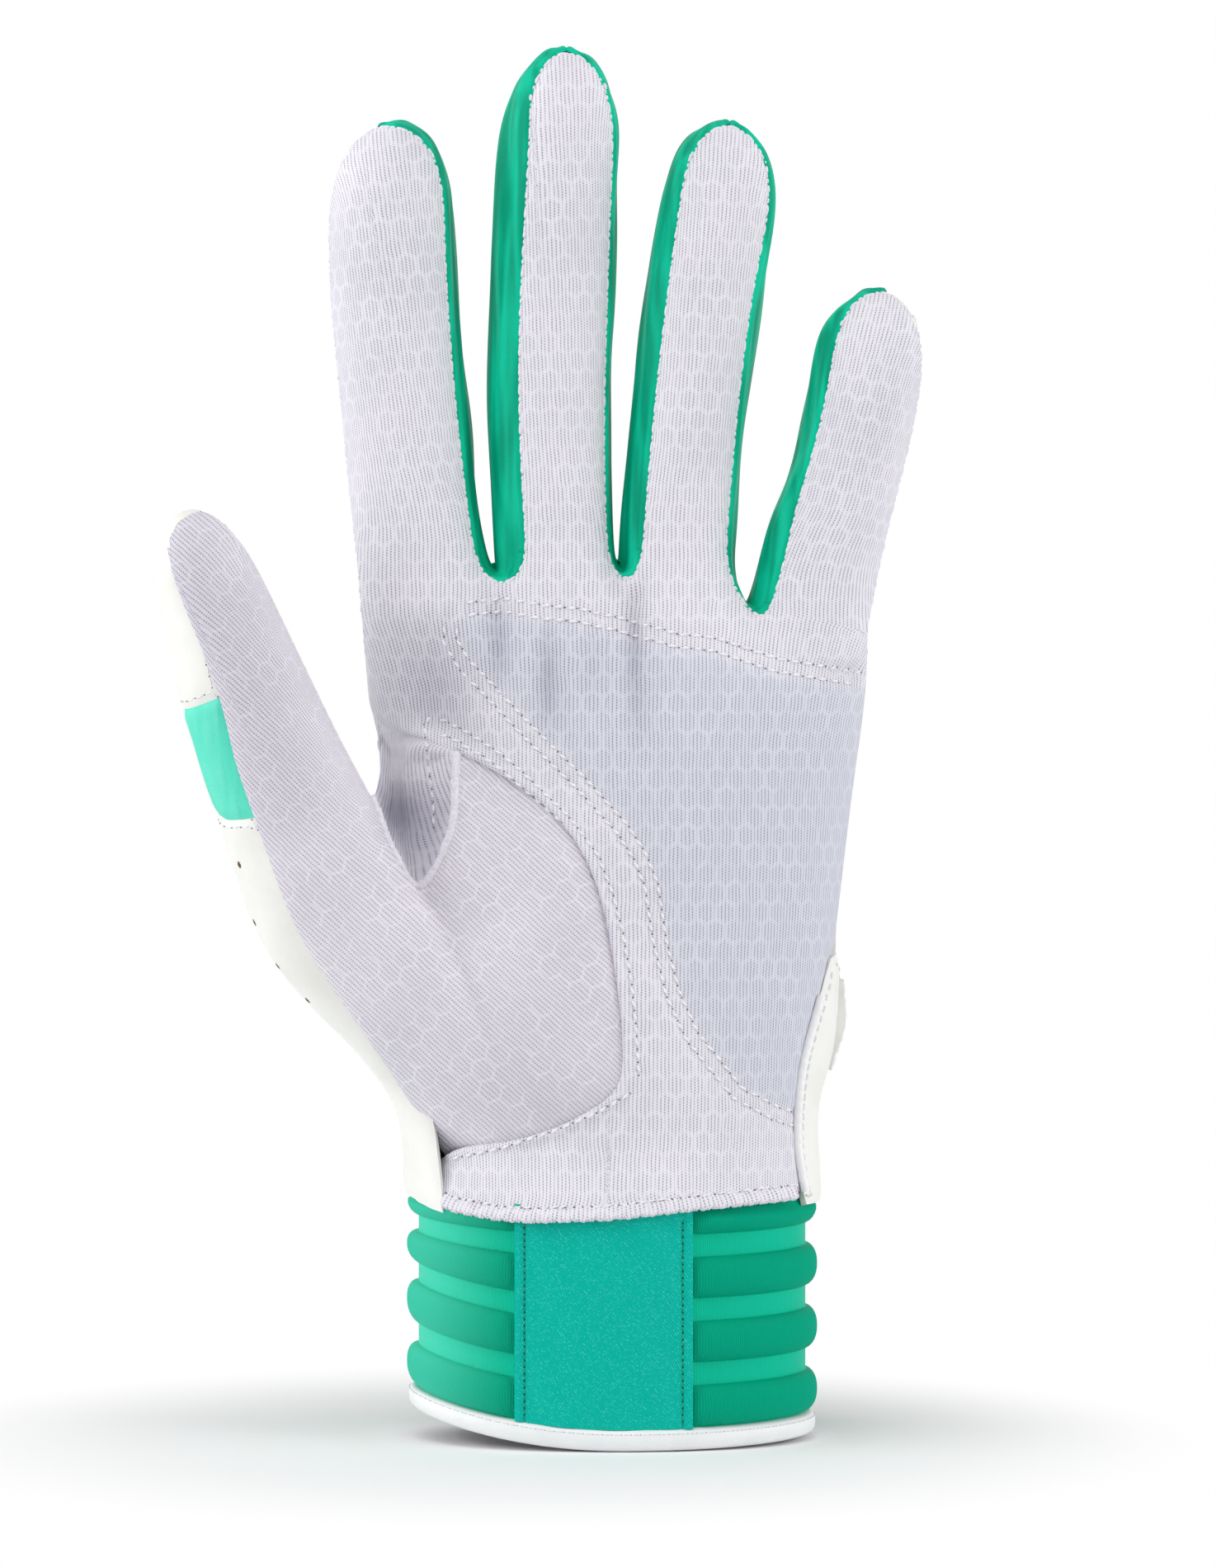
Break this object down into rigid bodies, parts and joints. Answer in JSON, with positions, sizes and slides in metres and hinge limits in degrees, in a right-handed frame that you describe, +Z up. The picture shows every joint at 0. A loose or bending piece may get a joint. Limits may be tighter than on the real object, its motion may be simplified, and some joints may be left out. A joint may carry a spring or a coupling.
{
  "type": "batting glove",
  "caption": "Left-hand batting glove standing on its cuff, filled as if worn: knit palm, stretch gussets, leather back, ribbed cuff with label panel, hook-and-loop strap.",
  "frame": {"origin": "bottom centre of the bounding box, in the plane of the cuff's rim", "axes": "+Z up along the fingers, -Y out of the palm, +X towards the little finger"},
  "size_m": [0.1202, 0.0474, 0.2243],
  "materials": {
    "white_knit": "fine jersey knit with a tonal hexagon print",
    "white_leather": "synthetic leather, satin, fine grain",
    "green_stretch": "ribbed stretch cloth with a sheen",
    "green_neoprene": "padded stretch cloth, matte",
    "green_satin": "woven satin",
    "white_trim": "woven tape, matte",
    "grey_foam": "thin foam, matte",
    "grey_tape": "hook and loop tape"
  },
  "bodies": {
    "hand": {"palm_panel": "white_knit", "palm_pad": "grey_foam", "knuckle_flex": "green_stretch", "index_middle_crotch": "green_stretch", "middle_ring_crotch": "green_stretch", "ring_pinky_crotch": "green_stretch", "thenar_panel": "white_knit", "back_panel": "white_leather", "back_side_panel": "white_leather", "thumb_side_base": "white_leather", "thumb_web": "white_knit", "wrist_side_panel": "white_leather", "side_piping": "white_trim", "slit_binding_left": "white_trim", "slit_binding_right": "white_trim", "loop_patch": "grey_tape", "strap_anchor": "white_leather", "cuff_band": "green_neoprene", "cuff_label": "green_satin", "cuff_lining": "white_trim", "cuff_binding": "white_trim", "wrist_hem": "white_trim"},
    "index": {"index_palm_strip": "white_knit", "index_back_strip": "white_leather", "index_right_gusset": "green_stretch"},
    "middle": {"middle_palm_strip": "white_knit", "middle_back_strip": "white_leather", "middle_left_gusset": "green_stretch", "middle_right_gusset": "green_stretch"},
    "ring": {"ring_palm_strip": "white_knit", "ring_back_strip": "white_leather", "ring_left_gusset": "green_stretch", "ring_right_gusset": "green_stretch"},
    "pinky": {"pinky_palm_strip": "white_knit", "pinky_back_strip": "white_leather", "pinky_left_gusset": "green_stretch"},
    "thumb": {"thumb_front": "white_knit", "thumb_back": "white_leather", "thumb_side_lower": "white_leather", "thumb_flex_insert": "green_stretch", "thumb_side_tip": "white_leather"},
    "strap": {"closure_strap": "white_leather", "hook_patch": "grey_tape"}
  },
  "joints": [
    {"name": "index_flex", "type": "hinge", "parent": "hand", "child": "index", "pos_m": [-0.01879, -0.00799, 0.14014], "axis": [0.9904, 0, 0.1379], "range_deg": [0, 80]},
    {"name": "middle_flex", "type": "hinge", "parent": "hand", "child": "middle", "pos_m": [0.00268, -0.00799, 0.14168], "axis": [0.9987, 0, 0.0505], "range_deg": [0, 80]},
    {"name": "ring_flex", "type": "hinge", "parent": "hand", "child": "ring", "pos_m": [0.02234, -0.00798, 0.14163], "axis": [0.9979, 0, -0.0645], "range_deg": [0, 80]},
    {"name": "pinky_flex", "type": "hinge", "parent": "hand", "child": "pinky", "pos_m": [0.04244, -0.00778, 0.13204], "axis": [0.9666, 0, -0.2563], "range_deg": [0, 80]},
    {"name": "thumb_flex", "type": "hinge", "parent": "hand", "child": "thumb", "pos_m": [-0.03413, -0.02317, 0.09068], "axis": [0.8999, 0, 0.4361], "range_deg": [0, 50]},
    {"name": "strap_peel", "type": "hinge", "parent": "hand", "child": "strap", "pos_m": [-0.01736, 0.01339, 0.06102], "axis": [-0.3407, -0.1591, 0.9266], "range_deg": [0, 110]}
  ]
}
